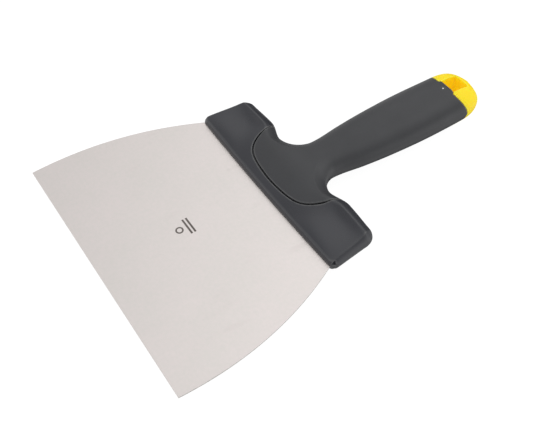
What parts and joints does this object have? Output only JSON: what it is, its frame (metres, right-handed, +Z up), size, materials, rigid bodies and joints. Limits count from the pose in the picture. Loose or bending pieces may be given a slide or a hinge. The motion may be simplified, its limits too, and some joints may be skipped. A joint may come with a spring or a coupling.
{
  "type": "bench scraper",
  "caption": "Wide bench scraper: a thin steel blade with curved-in sides in a T-shaped plastic head, with a moulded grip and an end cap with a hanging slot.",
  "frame": {"origin": "middle of the blade's working edge, on the blade's mid-plane", "axes": "+X along the working edge, +Y from the working edge to the end cap, +Z up through the blade's thickness"},
  "size_m": [0.2012, 0.3098, 0.0281],
  "materials": {
    "blade_steel": "fine satin, rolled stainless sheet",
    "grey_plastic": "fine moulded texture, satin",
    "grip_plastic": "fine moulded texture, soft satin",
    "cap_plastic": "satin moulded plastic",
    "rivet_steel": "plain bright steel"
  },
  "bodies": {
    "root": {"blade": "blade_steel", "head_upper_shell": "grey_plastic", "head_lower_shell": "grey_plastic", "rivet_left": "rivet_steel", "rivet_middle": "rivet_steel", "rivet_right": "rivet_steel", "tang_rivet_front": "rivet_steel", "tang_rivet_rear": "rivet_steel", "grip": "grip_plastic", "end_cap": "cap_plastic", "cap_pin": "rivet_steel"}
  },
  "joints": []
}
